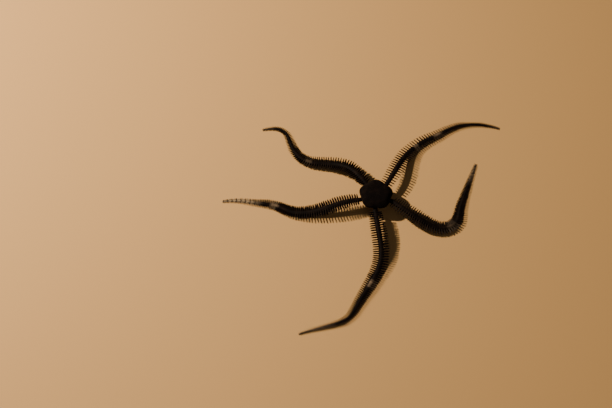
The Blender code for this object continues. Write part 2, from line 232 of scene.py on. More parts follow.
class Arm:
    """An arm's course over the floor, its sizes and its colours, by distance from its first cut."""

    def __init__(self, ray, name):
        self.ray, self.name = ray, name
        self.length, touch, headings = ARMS[name]
        out = direction(FIRST_ARM_ANGLE + RAY_STEP * ray)
        steps = math.ceil(self.length / PATH_STEP)
        share = np.arange(steps + 1) / steps
        height = ARM_ROOT_HEIGHT * (1.0 - smooth((share - ARM_LEVEL_SHARE) / (touch - ARM_LEVEL_SHARE)))
        fall = np.diff(height)
        run = np.sqrt((self.length / steps) ** 2 - fall**2)
        turn = np.radians(curve_through(headings, (share[1:] + share[:-1]) / 2.0))
        strides = np.stack((run * np.cos(turn), run * np.sin(turn), fall), 1)
        start = DISC_MIDDLE + out * ARM_START + np.array((0.0, 0.0, ARM_ROOT_HEIGHT))
        hidden = np.arange(1.3 * ROOT_START, -PATH_STEP / 2.0, PATH_STEP)
        self.at = np.concatenate((hidden, share * self.length))
        self.places = np.vstack((start + out * hidden[:, None], start, start + np.cumsum(strides, 0)))
        self.joints = self.find_joints()
        self.hides = self.colour_joints()

    def place(self, distance):
        return np.stack([np.interp(distance, self.at, self.places[:, k]) for k in range(3)], -1)

    def axes(self, distance):
        """The arm's direction, its left side and its upright."""
        reach = 2.4 * PATH_STEP
        ahead = unit(self.place(distance + reach) - self.place(distance - reach))
        left = unit(np.stack((-ahead[..., 1], ahead[..., 0], np.zeros(ahead.shape[:-1])), -1))
        return ahead, left, np.cross(ahead, left)

    def width(self, distance):
        broad = ARM_WIDTH * curve_through(WIDTHS, np.clip(distance / self.length, 0.0, 1.0))
        under = np.clip(distance / ROOT_START, 0.0, 1.0)
        last = np.clip((distance - self.length) / TIP_ROUNDING + 1.0, 0.0, 0.98)
        return broad * (1.0 - ROOT_NARROWING * under) * np.sqrt(1.0 - last**2)

    def find_joints(self):
        """The borders between joints, from under the disc to the tip."""
        found = [ROOT_START]
        while found[-1] < self.length:
            slender = float(self.width(max(0.0, min(found[-1], 0.97 * self.length)))) / ARM_WIDTH
            found.append(found[-1] + JOINT_PITCHES[self.name] * (1.0 - JOINT_CROWDING * (1.0 - slender)))
        found = np.array(found)
        return ROOT_START + (found - ROOT_START) * (self.length - ROOT_START) / (found[-1] - ROOT_START)

    def colour_joints(self):
        """One colour for each joint: black-brown, with a few pale patches and a banded tip."""
        draw = np.random.default_rng(HIDE_SEED + self.ray)
        count = len(self.joints) - 1
        share = (self.joints[1:] + self.joints[:-1]) / 2.0 / self.length
        colour = BLACK_BROWN * draw.uniform(0.75, 1.35, (count, 1))
        for centre, half, strength in PATCHES[self.name]:
            near = smooth(1.6 - np.abs(share - centre) / half)
            amount = strength * near * draw.uniform(0.6, 1.0, count)
            colour += (PATCH_BROWN - colour) * amount[:, None]
        begins, strength, tan = TIPS[self.name]
        pale = TAN * tan + PATCH_BROWN * (1.0 - tan)
        amount = strength * smooth((share - begins) / TIP_FADE) * draw.uniform(0.75, 1.0, count)
        colour += (pale - colour) * amount[:, None]
        band = (np.arange(count) % BAND_JOINTS == 0) * smooth((share - begins) / BAND_FADE)
        return colour + (DARK_BAND - colour) * BAND_STRENGTH * band[:, None]

    def joint_of(self, distance):
        return np.clip(np.searchsorted(self.joints, distance) - 1, 0, len(self.joints) - 2)

    def joints_from(self, start):
        """The joints that begin beyond a distance."""
        return np.nonzero(self.joints[:-1] > start)[0]

    def surface(self, distance, turn, lift):
        """Points on the skin: turn is 0 on the left, 90 on top; lift is a share of the arm's width."""
        distance, turn, lift = np.broadcast_arrays(distance, turn, lift)
        _, left, upright = self.axes(distance)
        width = self.width(distance)
        across, up = np.cos(np.radians(turn)), np.sin(np.radians(turn))
        power = np.where(up < 0.0, BELLY_SQUARENESS, 1.0)
        across = squared(across, power) * (SKIN_HALF_WIDTH + lift)
        up = SKIN_MIDDLE + squared(up, power) * (SKIN_HALF_HEIGHT + lift)
        return self.place(distance) + left * (width * across)[..., None] + upright * (width * up)[..., None]

    def unwrap(self, distance, turn):
        """The place on the unwrap, in the arm's own strip."""
        u = STRIP_MARGIN + STRIP_SCALE * (distance - ROOT_START)
        v = STRIP_MARGIN + STRIP_STEP * self.ray + STRIP_HEIGHT * ((turn + 90.0) / 360.0)
        return np.stack(np.broadcast_arrays(u, v), -1)


arms = [Arm(ray, name) for ray, name in enumerate(ARMS)]


def rim_radius(turn):
    """The disc's radius: it swells between the arms and is drawn in over each arm."""
    swing = np.cos(np.radians(RAY_COUNT * (turn - FIRST_ARM_ANGLE)))
    return (DISC_LOBE_RADIUS + DISC_NOTCH_RADIUS - (DISC_LOBE_RADIUS - DISC_NOTCH_RADIUS) * swing) / 2.0


def off_arm(turn):
    """Degrees from the nearest arm's line."""
    return (turn - FIRST_ARM_ANGLE + RAY_STEP / 2.0) % RAY_STEP - RAY_STEP / 2.0


def beside_arm(turn, radius):
    """How far a place is to the side of the nearest arm's line."""
    return np.abs(radius * np.sin(np.radians(off_arm(turn))))


def round_axis(turn, radius, height):
    """Points round the disc's axis."""
    bearing = np.radians(turn)
    sides = np.broadcast_arrays(radius * np.cos(bearing), radius * np.sin(bearing), height)
    return DISC_MIDDLE + np.stack(sides, -1)


def from_axis(places):
    return np.linalg.norm((places - DISC_MIDDLE)[..., :2], axis=-1)


def shoulder(share):
    """The height left, out of 1, at a share of the way out to a full, round-shouldered edge."""
    return (1.0 - share**2.6) ** 0.62


def disc_outline(turn, step):
    """Points on the tops of the granules. Step 0 is the crown, 1 the rim and 2 the mouth's edge."""
    rim = rim_radius(turn)
    top = step <= 1.0
    share = np.sin(np.pi / 2.0 * np.minimum(step, 1.0))
    round_edge = np.cos(np.pi / 2.0 * np.clip((step - 1.0) / 0.5, 0.0, 1.0))
    flat = np.clip((step - 1.5) / 0.5, 0.0, 1.0)
    belly_radius = rim * (BELLY_SHARE + (1.0 - BELLY_SHARE) * round_edge)
    belly_radius = belly_radius + (MOUTH_RADIUS - rim * BELLY_SHARE) * flat
    radius = np.where(top, rim * share, belly_radius)
    height = DISC_EDGE_HEIGHT + DISC_DOME * shoulder(share)
    height -= CROWN_DIP * (1.0 - smooth(share / CROWN_SHARE))
    for side in (1.0, -1.0):
        across = radius * np.radians(off_arm(turn) - side * SHIELD_TURN)
        away = np.hypot(across, radius - SHIELD_RADIUS)
        height += SHIELD_RISE * np.exp(-((away / SHIELD_SPREAD) ** 2))
    height = np.where(top, height, DISC_EDGE_HEIGHT - DISC_BELLY * shoulder(round_edge))
    return round_axis(turn, radius, height)


def disc_skin(turn, step):
    """Points on the disc's skin, with the directions round it, down it and out of it."""
    turn, step = np.broadcast_arrays(np.asarray(turn, float), np.asarray(step, float))
    near = np.clip(step, 0.004, 1.999)  # clear of the crown, the rim and the mouth's edge
    near = np.where(np.abs(near - 1.0) < 0.002, 1.002, near)
    down = unit(disc_outline(turn, near + 0.001) - disc_outline(turn, near - 0.001))
    around = unit(disc_outline(turn + 0.2, near) - disc_outline(turn - 0.2, near))
    outward = unit(np.cross(down, around))
    place = disc_outline(turn, step)
    radius = from_axis(place)
    off_slit = beside_arm(turn, radius) - SLIT_OFFSET
    inner, outer = SLIT_ENDS
    in_slit = smooth((radius - inner) / SLIT_FADE) * smooth((outer - radius) / SLIT_FADE) * (step > 1.2)
    depth = GRANULE_DEPTH + SLIT_DEPTH * np.exp(-((off_slit / SLIT_SPREAD) ** 2)) * in_slit
    return place - outward * depth[..., None], around, down, outward


def unwrap_disc(turn, step):
    """The place on the unwrap, in the chart of the disc's upper side or of its underside."""
    on_top = step < 1.0
    radius = CHART_RADIUS * np.where(on_top, step, 2.0 - step)
    upper, lower, height = CHART_MIDDLES
    bearing = np.radians(turn)
    across = np.where(on_top, upper, lower) + radius * np.cos(bearing)
    return np.stack((across, height + radius * np.sin(bearing)), -1)


def closed_mesh(name, points, faces, spots):
    """A mesh whose faces may have any number of corners, with the unwrap's place for each corner."""
    mesh = bpy.data.meshes.new(name)
    mesh.from_pydata(points.tolist(), [], faces)
    mesh.uv_layers.new(name="OFBake").uv.foreach_set("vector", np.asarray(spots, np.float32).ravel())
    return mesh


def ring_faces(rows, sides, pointed):
    """The faces of a closed row of rings, from a flat root to a pointed or a flat end."""
    faces = [tuple(range(sides - 1, -1, -1))]
    for low in range(0, (rows - 1) * sides, sides):
        for k in range(sides):
            j = (k + 1) % sides
            faces.append((low + k, low + j, low + sides + j, low + sides + k))
    last = (rows - 1) * sides
    if pointed:
        return faces + [(last + k, last + (k + 1) % sides, last + sides) for k in range(sides)]
    return [*faces, tuple(range(last, last + sides))]


def disc_mesh():
    """The disc, from its crown over the rim to the mouth and up the gullet."""
    n = DISC_TURNS
    turns = np.arange(n) * 360.0 / n
    steps = np.concatenate((np.linspace(0.012, 0.99, DISC_TOP_ROWS), np.linspace(1.0, 2.0, DISC_LOWER_ROWS)))
    rings = list(disc_skin(turns[None, :], steps[:, None])[0])
    rings += [round_axis(turns, radius, MOUTH_CEILING + rise) for radius, rise in THROAT]
    steps = np.append(steps, np.full(len(THROAT), 2.0))
    crown = disc_skin(0.0, 0.0)[0]
    gullet = DISC_MIDDLE + np.array((0.0, 0.0, MOUTH_CEILING + GULLET_DEPTH))
    points = np.vstack([*rings, crown, gullet])
    faces, spots = [], []
    last = len(rings) - 1
    for i in range(n):
        j = (i + 1) % n
        first, second = turns[i], turns[i] + 360.0 / n
        faces.append((len(points) - 2, i, j))
        spots += [(second, 0.0), (first, steps[0]), (second, steps[0])]
        for k in range(last):
            faces.append((k * n + i, (k + 1) * n + i, (k + 1) * n + j, k * n + j))
            low, high = steps[k], steps[k + 1]
            if low < 1.0 <= high:
                high = 0.999
            spots += [(first, low), (first, high), (second, high), (second, low)]
        faces.append((last * n + i, len(points) - 1, last * n + j))
        spots += [(first, 2.0), (second, 2.0), (second, 2.0)]
    turn, step = np.array(spots).T
    return closed_mesh("disc_skin", points, faces, unwrap_disc(turn, step))


def tube_mesh(arm):
    """An arm's skin, drawn in a little at each joint, and closed at both ends."""
    places, lifts = np.array(JOINT_PROFILE).T
    pitch = np.diff(arm.joints)
    distance = (arm.joints[:-1, None] + pitch[:, None] * places).ravel()
    rounding = arm.length - TIP_ROUNDING * np.array(TIP_RINGS)
    keep = distance < rounding[0] - 0.0001
    lift = np.append(np.tile(lifts, len(pitch))[keep], np.full(len(rounding), TIP_LIFT))
    distance = np.append(distance[keep], rounding)
    turn_step = 360.0 / TURNS_ROUND_ARM
    turns = -90.0 + turn_step * np.arange(TURNS_ROUND_ARM)
    points = arm.surface(distance[:, None], turns, lift[:, None])
    faces = ring_faces(len(distance), TURNS_ROUND_ARM, pointed=False)
    spots = [(distance[0], turn) for turn in turns[::-1]]
    for near, far in zip(distance[:-1], distance[1:]):
        for first in turns:
            second = first + turn_step
            spots += [(near, first), (near, second), (far, second), (far, first)]
    spots += [(distance[-1], turn) for turn in turns]
    along, turn = np.array(spots).T
    return closed_mesh("arm_skin", points.reshape(-1, 3), faces, arm.unwrap(along, turn))


def shown(name, mesh):
    made = bpy.data.objects.new(name, mesh)
    bpy.context.scene.collection.objects.link(made)
    return made


def fused_skin():
    """The disc with the five arms joined to it in one surface."""
    whole = shown("star_skin", disc_mesh())
    tubes = bpy.data.collections.new("tubes")
    bpy.context.scene.collection.children.link(tubes)
    for arm in arms:
        tubes.objects.link(bpy.data.objects.new("tube", tube_mesh(arm)))
    union = whole.modifiers.new("fuse", "BOOLEAN")
    union.operation = "UNION"
    union.operand_type = "COLLECTION"
    union.collection = tubes
    union.solver = "EXACT"
    bpy.context.view_layer.update()
    graph = bpy.context.evaluated_depsgraph_get()
    fused = bpy.data.meshes.new_from_object(whole.evaluated_get(graph))
    whole.modifiers.clear()
    whole.data = fused
    for tube in list(tubes.objects):
        bpy.data.objects.remove(tube)
    bpy.data.collections.remove(tubes)
    return whole


def paint(mesh, colour, edge):
    """Gives a mesh its colour at each point, and how worn or pale its edges are."""
    hide = mesh.attributes.new("hide", "FLOAT_VECTOR", "POINT")
    hide.data.foreach_set("vector", np.asarray(colour, np.float32).ravel())
    worn = mesh.attributes.new("edge", "FLOAT", "POINT")
    worn.data.foreach_set("value", np.asarray(edge, np.float32).ravel())


class Wire:
    """An output of a material's nodes. A sum on wires adds its Math nodes to the material."""

    def __init__(self, tree, socket=None):
        self.tree, self.socket = tree, socket

    def node(self, kind, output=0, settings=None, sockets=None):
        made = self.tree.nodes.new("ShaderNode" + kind)
        for key, value in (settings or {}).items():
            setattr(made, key, value)
        for key, value in (sockets or {}).items():
            if isinstance(value, Wire):
                self.tree.links.new(value.socket, made.inputs[key])
            else:
                made.inputs[key].default_value = value
        return Wire(self.tree, made.outputs[output])

    def math(self, operation, first, second):
        return self.node("Math", 0, {"operation": operation}, {0: first, 1: second})

    def __add__(self, other):
        return self.math("ADD", self, other)

    __radd__ = __add__

    def __mul__(self, other):
        return self.math("MULTIPLY", self, other)

    __rmul__ = __mul__

    def scaled(self, colour, amount):
        """A colour times a number, by Vector Math."""
        return self.node("VectorMath", 0, {"operation": "SCALE"}, {0: colour, "Scale": amount})

    def mixed(self, amount, first, second):
        """From one colour to another, by Mix."""
        settings = {"data_type": "RGBA", "clamp_factor": True}
        first, second = (c if isinstance(c, Wire) else (*c, 1.0) for c in (first, second))
        return self.node("Mix", 2, settings, {0: amount, 6: first, 7: second})

    def between(self, low, high):
        """0 where this value is low and 1 where it is high, smooth between them."""
        limits = {"Value": self, "From Min": low, "From Max": high}
        return self.node("MapRange", 0, {"interpolation_type": "SMOOTHSTEP"}, limits)


def hide_finish(name, edge_colour, edge_share, rough, bump, grain):
    """Damp, dark hide: cloudy and speckled in its own colour, paler on its edges, finely pitted."""
    finish = bpy.data.materials.new(name)
    finish.use_nodes = True
    shader = finish.node_tree.nodes["Principled BSDF"]
    shader.inputs["Specular IOR Level"].default_value = 0.04
    wire = Wire(finish.node_tree)
    place = wire.node("TexCoord", "Object")
    hide = wire.node("Attribute", "Color", {"attribute_name": "hide"})
    edge = wire.node("Attribute", "Fac", {"attribute_name": "edge"})
    cloud = wire.node("TexNoise", sockets={"Vector": place, "Scale": 260.0, "Detail": 3.0})
    speck = wire.node("TexNoise", sockets={"Vector": place, "Scale": 2600.0, "Detail": 3.0})
    pits = wire.node("TexVoronoi", sockets={"Vector": place, "Scale": grain})
    mottle = 0.62 + 0.55 * cloud.between(0.35, 0.68) + 0.40 * speck.between(0.45, 0.72)
    rusty = wire.mixed(0.5, hide, RUST)
    colour = wire.mixed(cloud.between(0.50, 0.74) * 0.45, wire.scaled(hide, mottle), rusty)
    colour = wire.mixed(edge * speck.between(0.30, 0.62) * edge_share, colour, edge_colour)
    relief = {"Height": pits * 0.6 + speck * 0.8, "Strength": bump, "Distance": 0.00006}
    normal = wire.node("Bump", sockets=relief)
    rough = rough + 0.22 * speck + 0.10 * cloud
    for key, value in (("Base Color", colour), ("Roughness", rough), ("Normal", normal)):
        finish.node_tree.links.new(value.socket, shader.inputs[key])
    return finish


skin = fused_skin()
loops = skin.data.loops
spots = np.empty(len(loops) * 2, np.float32)
skin.data.uv_layers["OFBake"].uv.foreach_get("vector", spots)
corners = np.empty(len(loops), np.int32)
loops.foreach_get("vertex_index", corners)
spot_of = np.zeros((len(skin.data.vertices), 2))
spot_of[corners] = spots.reshape(-1, 2)
# The skin's colour carries a painted shade that darkens it in the gaps between the plates and the granules.
skin_colour = np.tile(BLACK_BROWN * PAINTED_GAP_SHADE, (len(spot_of), 1))
for arm in arms:
    strip_middle = STRIP_MARGIN + STRIP_STEP * arm.ray + STRIP_HEIGHT / 2.0
    on_arm = np.abs(spot_of[:, 1] - strip_middle) < STRIP_STEP / 2.0
    distance = (spot_of[on_arm, 0] - STRIP_MARGIN) / STRIP_SCALE + ROOT_START
    skin_colour[on_arm] = arm.hides[arm.joint_of(distance)] * PAINTED_GAP_SHADE
paint(skin.data, skin_colour, np.zeros(len(spot_of)))
skin.data.materials.clear()
skin.data.materials.append(hide_finish("damp_skin", (0.03, 0.02, 0.014), 0.5, 0.55, 0.5, 5200.0))
skin.data.shade_smooth()
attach(skin, "root")
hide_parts("disc", *[n for n in frame["nodes"] if n.startswith("arm_")])

# The upper plates of the arms
# Each joint has one fan-shaped limy plate on top. Its rounded outer edge lies over the next one, and its
# edge is worn a little paler. They are pillows with sunk skirts, laid over the skin joint by joint.

UPPER_PLATE_HALF_TURN = 52.0
UPPER_PLATE_START = -0.0022  # the first one stands clear of the disc
UPPER_PLATE_GRID = (7, 9)  # points along and across
SKIRT_LIFT = -0.060  # the skirt's foot is this far inside the skin
WORN_FROM = 0.70  # along a plate
PLATE_PATCH = 0.0066  # length of a plate's patch of the unwrap
SMALL_PATCH = (0.003, 0.003)


def plate_faces(rows, columns):
    """The faces of a plate: its upper side, a skirt round it, and a floor inside the skin."""
    grid = np.arange(rows * columns).reshape(rows, columns)
    faces = [(k, k + 1, k + columns + 1, k + columns) for k in grid[:-1, :-1].ravel()]
    border = [*grid[0], *grid[1:, -1], *grid[-1, -2::-1], *grid[-2:0:-1, 0]]
    first, count = rows * columns, len(border)
    for k in range(count):
        n = (k + 1) % count
        faces.append((border[n], border[k], first + k, first + n))
    faces.append(tuple(range(first + count - 1, first - 1, -1)))
    return faces, border


def joined(name, lots):
    """One mesh from several lots, each of many copies of one small closed shape.

    A lot holds its points by copy, the faces of one copy, the root's spot on the unwrap, each point's
    place in the patch there, the patch's size, the colour of each copy, and how pale its edges are.
    """
    parts = []
    point_count = corner_count = 0
    for lot in lots:
        copies, size = lot["points"].shape[:2]
        copy = np.arange(copies)[:, None]
        loop = np.concatenate(lot["faces"])
        begin = np.cumsum([0] + [len(face) for face in lot["faces"][:-1]])
        patch = lot["roots"][:, None] + lot["patch"] * np.array(lot.get("patch_size", SMALL_PATCH))
        parts.append((
            lot["points"].reshape(-1, 3),
            (point_count + size * copy + loop).ravel(),
            (corner_count + len(loop) * copy + begin).ravel(),
            patch[:, loop].ravel(),
            np.repeat(lot["colour"], size, axis=0),
            np.broadcast_to(lot["edge"], (copies, size)).ravel(),
        ))
        point_count += copies * size
        corner_count += copies * len(loop)
    points, corners, starts, spots, colours, edges = (np.concatenate(column) for column in zip(*parts))
    mesh = bpy.data.meshes.new(name)
    mesh.vertices.add(point_count)
    mesh.vertices.foreach_set("co", points.astype(np.float32).ravel())
    mesh.loops.add(corner_count)
    mesh.loops.foreach_set("vertex_index", corners.astype(np.int32))
    mesh.polygons.add(len(starts))
    mesh.polygons.foreach_set("loop_start", starts.astype(np.int32))
    mesh.update(calc_edges=True)
    mesh.uv_layers.new(name="OFBake").uv.foreach_set("vector", spots.astype(np.float32))
    paint(mesh, colours, edges)
    mesh.shade_smooth()
    mesh.set_sharp_from_angle(angle=math.radians(50.0))
    return mesh


def wear(name, lots, finish, slot, *nodes):
    """Shows several lots, joined, as a piece of the still body."""
    mesh = joined(name, lots)
    piece = shown(name, mesh)
    mesh.materials.append(finish)
    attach(piece, "root")
    if nodes:
        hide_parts(*nodes)


def plate_lot(arm, joints, layout, grid, colour, middle_turn, patch_width):
    """A plate on each of these joints. layout gives, from places across (-1 to 1) and along (0 to 1)
    the plate, the shares of the joint's pitch, the turns from the plate's middle and the lifts.
    """
    rows, columns = grid
    faces, border = plate_faces(rows, columns)
    along, across = np.meshgrid(np.linspace(0.0, 1.0, rows), np.linspace(-1.0, 1.0, columns), indexing="ij")
    along, across = along.ravel(), across.ravel()
    share, turn, lift = layout(across, along)
    share, turn, along, across = (np.append(x, x[border]) for x in (share, turn, along, across))
    lift = np.append(lift, np.full(len(border), SKIRT_LIFT))
    start = arm.joints[joints][:, None]
    pitch = np.diff(arm.joints)[joints][:, None]
    distance = np.minimum(start + pitch * share, arm.length - 0.0002)
    return {
        "points": arm.surface(distance, middle_turn + turn, lift),
        "faces": faces,
        "roots": arm.unwrap(start[:, 0] + pitch[:, 0] / 2.0, middle_turn),
        "patch": np.stack((along - 0.5, across / 2.0), -1),
        "patch_size": (PLATE_PATCH, patch_width),
        "colour": colour,
        "edge": smooth((along - WORN_FROM) / (1.0 - WORN_FROM)),
    }


def upper_plate(across, along):
    half = UPPER_PLATE_HALF_TURN * (0.70 + 0.30 * smooth(along / 0.6))
    share = -0.10 + along * (1.26 - 0.34 * across**2) + 0.14 * across**2 * (1.0 - along)
    pillow = 1.0 - 0.55 * np.abs(across) ** 3
    lift = (-0.022 + 0.050 * along**1.3) * pillow - 0.010 * (along > 0.99)
    return share, half * across, lift


plate_finish = hide_finish("arm_plate_hide", (0.022, 0.0125, 0.007), 0.26, 0.55, 0.55, 7000.0)
for arm in arms:
    joints = arm.joints_from(UPPER_PLATE_START)
    lot = plate_lot(arm, joints, upper_plate, UPPER_PLATE_GRID, arm.hides[joints], 90.0, 0.020)
    wear(f"arm_{arm.name}_upper_plates", [lot], plate_finish, "arm_skin")

# The side plates of the arms
# A limy plate on each side of a joint wraps from the belly to the shoulder. Its outer edge is a raised
# ridge with a boss for each spine of the comb.

SIDE_PLATE_HALF_TURN = 47.0
SIDE_PLATE_START = -0.0050
SIDE_PLATE_GRID = (6, 19)
# painted shade: the side plates take the joints' own colours, darkened a little for the arm's sides
SIDE_PLATE_PAINTED_SHADE = 0.9
PLATE_ROOM = 0.030  # the highest lift that stays inside the solids
RIDGE_SPREAD = 0.17  # along the joint
BOSS_SPREAD = 5.0  # degrees
SPINE_TURNS = (38.0, 14.0, -10.0, -34.0)  # of the spines' roots, up from the side
SPINE_PLACE = 0.76  # of the ridge along the joint
COMB_SLANTS = {  # how far forward the ridge's upper end lies, as a share of the joint
    "back_right": -0.42, "back_left": 0.0, "left": 0.40, "front": -0.06, "right": 0.15,
}


def ridge_place(arm, turn):
    """Where the ridge lies along the joint at so many degrees up from the arm's side."""
    return SPINE_PLACE + COMB_SLANTS[arm.name] * turn / (SPINE_TURNS[0] - SPINE_TURNS[-1])


def side_plate(arm, side):
    """The layout of the side plates on one side of an arm."""

    def layout(across, along):
        turn = SIDE_PLATE_HALF_TURN * across
        ridge = np.exp(-(((along - ridge_place(arm, side * turn)) / RIDGE_SPREAD) ** 2))
        lift = -0.030 + 0.012 * along + 0.034 * ridge * (1.0 - 0.5 * np.abs(across) ** 4)
        for root in SPINE_TURNS:
            lift = lift + 0.012 * ridge * np.exp(-(((side * turn - root) / BOSS_SPREAD) ** 2))
        return along * (1.04 - 0.06 * across**2), turn, np.minimum(lift, PLATE_ROOM)

    return layout


for arm in arms:
    joints = arm.joints_from(SIDE_PLATE_START)
    # The side plates' colours carry a painted shade that darkens the arm's sides.
    colour = arm.hides[joints] * SIDE_PLATE_PAINTED_SHADE
    lots = []
    for side, middle_turn in ((1.0, 0.0), (-1.0, 180.0)):
        layout = side_plate(arm, side)
        lots.append(plate_lot(arm, joints, layout, SIDE_PLATE_GRID, colour, middle_turn, 0.019))
    wear(f"arm_{arm.name}_side_plates", lots, plate_finish, "arm_skin")

# The under plates of the arms, with their tentacle scales
# Each joint has a squarish limy plate below. On each side of it a leaf-like scale covers the pore of a
# tube foot. All of it stays above the floor.

UNDER_PLATE_HALF_TURN = 38.0
UNDER_PLATE_START = ROOT_START - 0.0001
UNDER_PLATE_GRID = (5, 7)
CUT_MARGIN = 0.010  # moves the patches clear of the cut edge of the arm's strip
SCALE_TURN = 47.0  # from the middle of the underside
SCALE_PLACE = 0.58  # along the joint
SCALE_LENGTH = 0.62  # of the joint's pitch
SCALE_WIDTH = 0.30
SCALE_THICKNESS = 0.022  # half of it, as a share of the arm's width
SCALE_LIFT = -0.004
SCALE_BALL = (8, 3)  # sides and rows of the ball that a scale is made from
FLOOR_GAP = 0.00003


def under_plate(across, along):
    corner = 0.10 * across**4
    share = 0.04 + corner + along * (0.94 - 2.0 * corner)
    lift = 0.012 - 0.018 * np.abs(2.0 * along - 1.0) ** 4 - 0.014 * np.abs(across) ** 6
    return share, UNDER_PLATE_HALF_TURN * across, lift


def globe(sides, rows):
    """A unit ball with one pole up: its points and faces."""
    round_turns = np.arange(sides) * 2.0 * math.pi / sides
    points = [(0.0, 0.0, 1.0)]
    for level in np.radians(np.linspace(90.0, -90.0, rows + 2)[1:-1]):
        ring, height = math.cos(level), math.sin(level)
        points += [(ring * math.cos(turn), ring * math.sin(turn), height) for turn in round_turns]
    points.append((0.0, 0.0, -1.0))
    faces = []
    for i in range(sides):
        j = (i + 1) % sides
        faces.append((0, 1 + i, 1 + j))
        for k in range(rows - 1):
            low, high = 1 + (k + 1) * sides, 1 + k * sides
            faces.append((high + i, low + i, low + j, high + j))
        last = 1 + (rows - 1) * sides
        faces.append((last + i, len(points) - 1, last + j))
    return np.array(points), faces


def lobe_lot(ball, centres, ways, colour, roots, edge):
    """Rounded lobes made from a ball: their centres, and for each its three half axes."""
    points, faces = ball
    return {
        "points": centres[:, None, :] + np.einsum("nk,ckj->cnj", points, ways),
        "faces": faces,
        "roots": roots,
        "patch": points[:, :2] / 2.0,
        "colour": colour,
        "edge": edge,
    }


def scale_lot(arm, joints, side, colour):
    """The tentacle scales along one side: flat ovals that point to the arm's tip."""
    start = arm.joints[joints]
    pitch = np.diff(arm.joints)[joints]
    distance = np.minimum(start + SCALE_PLACE * pitch, arm.length - 0.0004)
    turn = 90.0 - side * (180.0 - SCALE_TURN)
    ahead, left, upright = arm.axes(distance)
    out = unit(left * (side * 0.55) - upright * 0.83)
    beside = unit(np.cross(ahead, out))
    halves = (pitch * SCALE_LENGTH / 2.0, pitch * SCALE_WIDTH / 2.0, arm.width(start) * SCALE_THICKNESS)
    ways = np.stack([way * half[:, None] for way, half in zip((ahead, beside, out), halves)], 1)
    ball = globe(*SCALE_BALL)
    edge = (ball[0][:, 0] + 1.0) / 2.0
    root = arm.surface(distance, turn, SCALE_LIFT)
    lot = lobe_lot(ball, root, ways, colour, arm.unwrap(distance, turn), edge)
    lot["points"][..., 2] = np.maximum(lot["points"][..., 2], FLOOR_GAP)
    return lot


under_finish = hide_finish("arm_underside_hide", (0.16, 0.115, 0.085), 0.40, 0.36, 0.5, 7000.0)
for arm in arms:
    joints = arm.joints_from(UNDER_PLATE_START)
    plate_colour, scale_colour = (arm.hides[joints] * 0.5 + UNDERSIDE * paleness for paleness in (0.6, 0.7))
    plates = plate_lot(arm, joints, under_plate, UNDER_PLATE_GRID, plate_colour, -90.0, 0.017)
    plates["roots"] = plates["roots"] + np.array((0.0, CUT_MARGIN))
    lots = [plates, scale_lot(arm, joints, 1.0, scale_colour), scale_lot(arm, joints, -1.0, scale_colour)]
    wear(f"arm_{arm.name}_under_plates", lots, under_finish, "arm_skin")

# The spines
# Each side plate carries a comb of four blunt limy spines in one plane across the arm, the upper ones
# stouter. They stand on the bosses of the ridge, shorten towards the tip, and stay off the floor.

SPINE_LENGTH = 0.0036
SPINE_LENGTHS = (  # shares of it along the arm
    (0.0, 0.72), (0.12, 0.98), (0.25, 1.0), (0.45, 0.86), (0.65, 0.64), (0.85, 0.42), (1.0, 0.20),
)
SPINE_THICKNESS = 0.00056
SPINE_STAGGER = (0.04, -0.04, 0.04, -0.04)  # of the four roots off the ridge's line
SPINE_RISES = (5.0, 7.5, 10.5, 14.0)  # the spines of a comb draw together towards their ends
SPINE_STOUTNESS = (1.10, 1.04, 0.96, 0.86)
SPINE_REACH = (0.93, 1.0, 0.98, 0.88)  # lengths of the four rows, as shares
SPINE_LIFT = 0.004  # of the roots over the skin
COMB_TWISTS = {  # degrees that one row of spines leans less than the row above it
    "back_right": -0.4, "back_left": -2.5, "left": 0.3, "front": -0.8, "right": 0.7,
}
COMB_LEANS = {  # degrees towards the tip
    "back_right": -7.0, "back_left": 8.0, "left": 2.0, "front": 2.0, "right": 6.0,
}
COMB_SWAY = 1.8  # degrees that whole combs lean to and fro along the arm
SPINE_PROFILE = (  # place along the spine, and share of the thickness
    (-0.07, 0.90), (0.00, 1.45), (0.05, 1.30), (0.12, 1.08), (0.30, 1.0),
    (0.50, 0.95), (0.70, 0.83), (0.88, 0.60), (0.97, 0.36),
)
SPINE_PALEST = np.array((0.020, 0.013, 0.008))  # before the tip, where pale plates still carry dark spines
SPINE_PALE_FROM = (0.60, 0.08)  # share where they turn pale too, and how fast
SPINE_SIDES = 8
SPINE_SEED = 11
MODEL_HALVES = np.abs(np.array(cad_box))[:, :2].min(axis=0)  # of the solids' box: spines stay inside
FIRST_COMB = -0.0018  # the first joint whose whole comb stands free of the disc
FIRST_HIDDEN_COMB = -0.0046  # from here to the first comb, under the disc, only the lowest spine grows
HIDDEN_SPINE = (0.42, 0.62)  # its length and thickness, as shares
TIP_START = 0.74  # share of the length beyond which a comb has three spines


def ring_points(rings, end, first, second, sides, turned=0.0):
    """Rings of points round each copy's axis, then its end. A ring has its middles and its radii."""
    angle = 2.0 * np.pi * (np.arange(sides) + turned)[:, None] / sides
    around = first[:, None] * np.cos(angle) + second[:, None] * np.sin(angle)
    circles = [middle[:, None] + around * radius[:, None, None] for middle, radius in rings]
    return np.concatenate((*circles, end[:, None]), 1)


